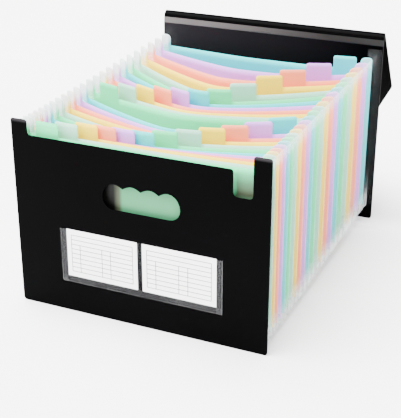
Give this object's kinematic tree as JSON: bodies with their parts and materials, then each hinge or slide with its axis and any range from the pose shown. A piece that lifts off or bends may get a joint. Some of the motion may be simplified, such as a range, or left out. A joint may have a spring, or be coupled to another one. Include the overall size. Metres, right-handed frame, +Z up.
{
  "type": "expanding desktop file sorter",
  "caption": "Expanding accordion file sorter with black covers, pastel tabbed dividers, clear film pockets, handle hole, label pocket and fold-back lid.",
  "frame": {"origin": "bottom centre of the whole object's box, on the surface it stands on", "axes": "+Z up, +Y from the front cover to the back cover, +X to the right seen from the front"},
  "size_m": [0.338, 0.5334, 0.2764],
  "materials": {
    "black_sheet": "satin",
    "sheet_green": "translucent frosted",
    "sheet_grey": "translucent frosted",
    "sheet_yellow": "translucent frosted",
    "sheet_pink": "translucent frosted",
    "sheet_lavender": "translucent frosted",
    "sheet_teal": "translucent frosted",
    "clear_film": "clear film",
    "label_film": "clear film over black",
    "card": "white card"
  },
  "bodies": {
    "back": {"back_cover": "black_sheet", "lid_lower_strip": "black_sheet", "lid_upper_strip": "black_sheet"},
    "front": {"front_cover": "black_sheet", "label_pocket": "label_film", "gusset_01": "clear_film"},
    "sheet_01": {"divider_01": "sheet_green", "gusset_02": "clear_film"},
    "sheet_02": {"divider_02": "sheet_grey", "gusset_03": "clear_film"},
    "sheet_03": {"divider_03": "sheet_yellow", "gusset_04": "clear_film"},
    "sheet_04": {"divider_04": "sheet_pink", "gusset_05": "clear_film"},
    "sheet_05": {"divider_05": "sheet_lavender", "gusset_06": "clear_film"},
    "sheet_06": {"divider_06": "sheet_teal", "gusset_07": "clear_film"},
    "sheet_07": {"divider_07": "sheet_green", "gusset_08": "clear_film"},
    "sheet_08": {"divider_08": "sheet_grey", "gusset_09": "clear_film"},
    "sheet_09": {"divider_09": "sheet_yellow", "gusset_10": "clear_film"},
    "sheet_10": {"divider_10": "sheet_pink", "gusset_11": "clear_film"},
    "sheet_11": {"divider_11": "sheet_lavender", "gusset_12": "clear_film"},
    "sheet_12": {"divider_12": "sheet_teal", "gusset_13": "clear_film"},
    "sheet_13": {"divider_13": "sheet_green", "gusset_14": "clear_film"},
    "sheet_14": {"divider_14": "sheet_grey", "gusset_15": "clear_film"},
    "sheet_15": {"divider_15": "sheet_yellow", "gusset_16": "clear_film"},
    "sheet_16": {"divider_16": "sheet_pink", "gusset_17": "clear_film"},
    "sheet_17": {"divider_17": "sheet_lavender", "gusset_18": "clear_film"},
    "sheet_18": {"divider_18": "sheet_teal", "gusset_19": "clear_film"},
    "sheet_19": {"divider_19": "sheet_green", "gusset_20": "clear_film"},
    "sheet_20": {"divider_20": "sheet_grey", "gusset_21": "clear_film"},
    "sheet_21": {"divider_21": "sheet_yellow", "gusset_22": "clear_film"},
    "sheet_22": {"divider_22": "sheet_pink", "gusset_23": "clear_film"},
    "sheet_23": {"divider_23": "sheet_lavender", "gusset_24": "clear_film"},
    "sheet_24": {"divider_24": "sheet_teal", "gusset_25": "clear_film"},
    "card_left": {"label_card_left": "card"},
    "card_right": {"label_card_right": "card"},
    "flap": {"lid_flap": "black_sheet"}
  },
  "joints": [
    {"name": "open_close", "type": "slide", "parent": "back", "child": "front", "axis": [0, 1, 0], "range_m": [0, 0.37566], "deforming": ["gusset_01", "gusset_02", "gusset_03", "gusset_04", "gusset_05", "gusset_06", "gusset_07", "gusset_08", "gusset_09", "gusset_10", "gusset_11", "gusset_12", "gusset_13", "gusset_14", "gusset_15", "gusset_16", "gusset_17", "gusset_18", "gusset_19", "gusset_20", "gusset_21", "gusset_22", "gusset_23", "gusset_24", "gusset_25"]},
    {"name": "sheet_01_slide", "type": "slide", "parent": "back", "child": "sheet_01", "axis": [0, 1, 0], "range_m": [0, 0.36729]},
    {"name": "sheet_02_slide", "type": "slide", "parent": "back", "child": "sheet_02", "axis": [0, 1, 0], "range_m": [0, 0.35837]},
    {"name": "sheet_03_slide", "type": "slide", "parent": "back", "child": "sheet_03", "axis": [0, 1, 0], "range_m": [0, 0.34889]},
    {"name": "sheet_04_slide", "type": "slide", "parent": "back", "child": "sheet_04", "axis": [0, 1, 0], "range_m": [0, 0.33885]},
    {"name": "sheet_05_slide", "type": "slide", "parent": "back", "child": "sheet_05", "axis": [0, 1, 0], "range_m": [0, 0.32826]},
    {"name": "sheet_06_slide", "type": "slide", "parent": "back", "child": "sheet_06", "axis": [0, 1, 0], "range_m": [0, 0.31712]},
    {"name": "sheet_07_slide", "type": "slide", "parent": "back", "child": "sheet_07", "axis": [0, 1, 0], "range_m": [0, 0.30542]},
    {"name": "sheet_08_slide", "type": "slide", "parent": "back", "child": "sheet_08", "axis": [0, 1, 0], "range_m": [0, 0.29317]},
    {"name": "sheet_09_slide", "type": "slide", "parent": "back", "child": "sheet_09", "axis": [0, 1, 0], "range_m": [0, 0.28036]},
    {"name": "sheet_10_slide", "type": "slide", "parent": "back", "child": "sheet_10", "axis": [0, 1, 0], "range_m": [0, 0.267]},
    {"name": "sheet_11_slide", "type": "slide", "parent": "back", "child": "sheet_11", "axis": [0, 1, 0], "range_m": [0, 0.25308]},
    {"name": "sheet_12_slide", "type": "slide", "parent": "back", "child": "sheet_12", "axis": [0, 1, 0], "range_m": [0, 0.23861]},
    {"name": "sheet_13_slide", "type": "slide", "parent": "back", "child": "sheet_13", "axis": [0, 1, 0], "range_m": [0, 0.22359]},
    {"name": "sheet_14_slide", "type": "slide", "parent": "back", "child": "sheet_14", "axis": [0, 1, 0], "range_m": [0, 0.208]},
    {"name": "sheet_15_slide", "type": "slide", "parent": "back", "child": "sheet_15", "axis": [0, 1, 0], "range_m": [0, 0.19187]},
    {"name": "sheet_16_slide", "type": "slide", "parent": "back", "child": "sheet_16", "axis": [0, 1, 0], "range_m": [0, 0.17518]},
    {"name": "sheet_17_slide", "type": "slide", "parent": "back", "child": "sheet_17", "axis": [0, 1, 0], "range_m": [0, 0.15793]},
    {"name": "sheet_18_slide", "type": "slide", "parent": "back", "child": "sheet_18", "axis": [0, 1, 0], "range_m": [0, 0.14013]},
    {"name": "sheet_19_slide", "type": "slide", "parent": "back", "child": "sheet_19", "axis": [0, 1, 0], "range_m": [0, 0.12178]},
    {"name": "sheet_20_slide", "type": "slide", "parent": "back", "child": "sheet_20", "axis": [0, 1, 0], "range_m": [0, 0.10287]},
    {"name": "sheet_21_slide", "type": "slide", "parent": "back", "child": "sheet_21", "axis": [0, 1, 0], "range_m": [0, 0.08341]},
    {"name": "sheet_22_slide", "type": "slide", "parent": "back", "child": "sheet_22", "axis": [0, 1, 0], "range_m": [0, 0.06339]},
    {"name": "sheet_23_slide", "type": "slide", "parent": "back", "child": "sheet_23", "axis": [0, 1, 0], "range_m": [0, 0.04281]},
    {"name": "sheet_24_slide", "type": "slide", "parent": "back", "child": "sheet_24", "axis": [0, 1, 0], "range_m": [0, 0.02168]},
    {"name": "lid_swing", "type": "hinge", "parent": "back", "child": "flap", "pos_m": [0, 0.1605, 0.27707], "axis": [1, 0, 0], "range_deg": [0, 228]},
    {"name": "card_left_slide", "type": "slide", "parent": "front", "child": "card_left", "axis": [0, 0, 1], "range_m": [0, 0.06]},
    {"name": "card_right_slide", "type": "slide", "parent": "front", "child": "card_right", "axis": [0, 0, 1], "range_m": [0, 0.06]}
  ],
  "couplings": [
    {"joint": "sheet_01_slide", "follows": "open_close", "ratio": 0.97772},
    {"joint": "sheet_02_slide", "follows": "open_close", "ratio": 0.95396},
    {"joint": "sheet_03_slide", "follows": "open_close", "ratio": 0.92873},
    {"joint": "sheet_04_slide", "follows": "open_close", "ratio": 0.90202},
    {"joint": "sheet_05_slide", "follows": "open_close", "ratio": 0.87383},
    {"joint": "sheet_06_slide", "follows": "open_close", "ratio": 0.84417},
    {"joint": "sheet_07_slide", "follows": "open_close", "ratio": 0.81303},
    {"joint": "sheet_08_slide", "follows": "open_close", "ratio": 0.78041},
    {"joint": "sheet_09_slide", "follows": "open_close", "ratio": 0.74632},
    {"joint": "sheet_10_slide", "follows": "open_close", "ratio": 0.71075},
    {"joint": "sheet_11_slide", "follows": "open_close", "ratio": 0.6737},
    {"joint": "sheet_12_slide", "follows": "open_close", "ratio": 0.63517},
    {"joint": "sheet_13_slide", "follows": "open_close", "ratio": 0.59517},
    {"joint": "sheet_14_slide", "follows": "open_close", "ratio": 0.5537},
    {"joint": "sheet_15_slide", "follows": "open_close", "ratio": 0.51075},
    {"joint": "sheet_16_slide", "follows": "open_close", "ratio": 0.46632},
    {"joint": "sheet_17_slide", "follows": "open_close", "ratio": 0.42041},
    {"joint": "sheet_18_slide", "follows": "open_close", "ratio": 0.37303},
    {"joint": "sheet_19_slide", "follows": "open_close", "ratio": 0.32417},
    {"joint": "sheet_20_slide", "follows": "open_close", "ratio": 0.27383},
    {"joint": "sheet_21_slide", "follows": "open_close", "ratio": 0.22202},
    {"joint": "sheet_22_slide", "follows": "open_close", "ratio": 0.16873},
    {"joint": "sheet_23_slide", "follows": "open_close", "ratio": 0.11396},
    {"joint": "sheet_24_slide", "follows": "open_close", "ratio": 0.057719}
  ]
}
